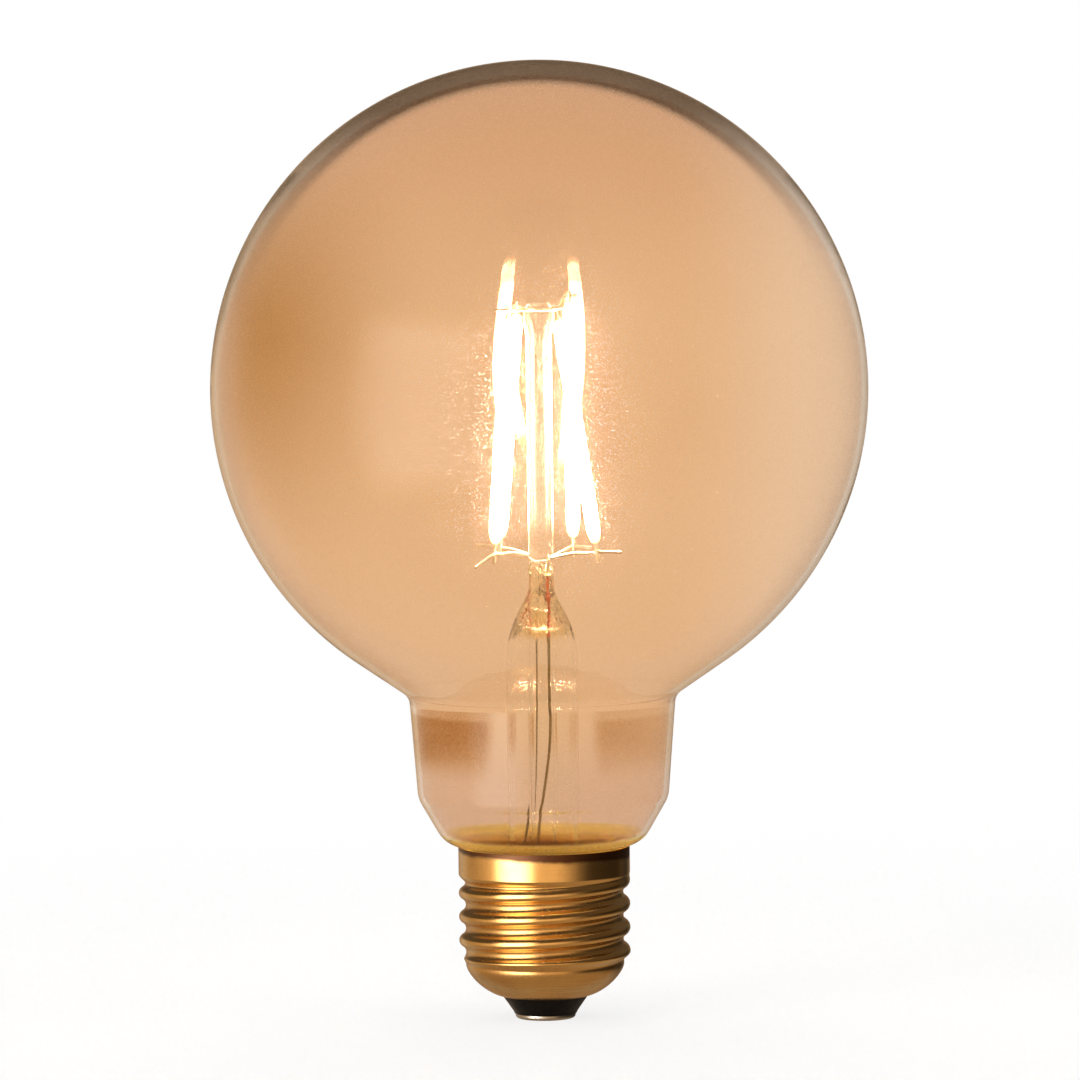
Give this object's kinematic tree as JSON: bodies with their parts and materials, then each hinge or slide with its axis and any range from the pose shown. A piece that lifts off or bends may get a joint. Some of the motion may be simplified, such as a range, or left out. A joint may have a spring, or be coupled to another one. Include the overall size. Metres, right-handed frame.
{
  "type": "filament globe lamp",
  "caption": "Amber glass globe lamp with glowing filaments round a glass stem and a brass Edison screw cap.",
  "frame": {"origin": "centre of the flat underside of the centre contact, the lamp's lowest point", "axes": "+Z along the lamp's axis from cap to crown, -Y towards the viewer of the picture"},
  "size_m": [0.1, 0.1, 0.1462],
  "materials": {
    "amber_glass": "polished, amber tinted",
    "clear_glass": "polished, clear",
    "phosphor": "lit phosphor",
    "nickel_wire": "drawn nickel wire",
    "copper_wire": "copper clad",
    "lead_wire": "dull drawn wire",
    "brass_sheet": "satin brass",
    "cement": "matte cement",
    "black_insulator": "glossy black",
    "contact_metal": "stamped, satin",
    "circuit_board": "solder mask",
    "moulded_black": "moulded resin",
    "tinned_metal": "tinned",
    "capacitor_can": "sleeved can",
    "resistor_coat": "lacquered",
    "wire_cover_red": "soft sleeve",
    "wire_cover_black": "soft sleeve"
  },
  "bodies": {
    "root": {"basing_cement": "cement", "bridge_rectifier": "moulded_black", "cap_insulator": "black_insulator", "capacitor_legs": "tinned_metal", "centre_contact": "contact_metal", "centre_rod": "clear_glass", "cross_wire_left": "nickel_wire", "cross_wire_right": "nickel_wire", "current_regulator": "moulded_black", "driver_board": "circuit_board", "exhaust_tube": "clear_glass", "filament_back_left": "phosphor", "filament_back_right": "phosphor", "filament_front_left": "phosphor", "filament_front_right": "phosphor", "fuse_legs": "tinned_metal", "fuse_resistor": "resistor_coat", "glass_globe": "amber_glass", "glass_stem": "clear_glass", "inner_lead_back": "nickel_wire", "inner_lead_front": "nickel_wire", "live_wire": "wire_cover_red", "neutral_solder": "tinned_metal", "neutral_wire": "wire_cover_black", "outer_lead_back": "lead_wire", "outer_lead_front": "lead_wire", "rectifier_legs": "tinned_metal", "regulator_legs": "tinned_metal", "screw_shell": "brass_sheet", "seal_wire_back": "copper_wire", "seal_wire_front": "copper_wire", "smoothing_capacitor": "capacitor_can", "tabs_back_left": "nickel_wire", "tabs_back_right": "nickel_wire", "tabs_front_left": "nickel_wire", "tabs_front_right": "nickel_wire", "top_wire_back": "nickel_wire", "top_wire_front": "nickel_wire"}
  },
  "joints": []
}
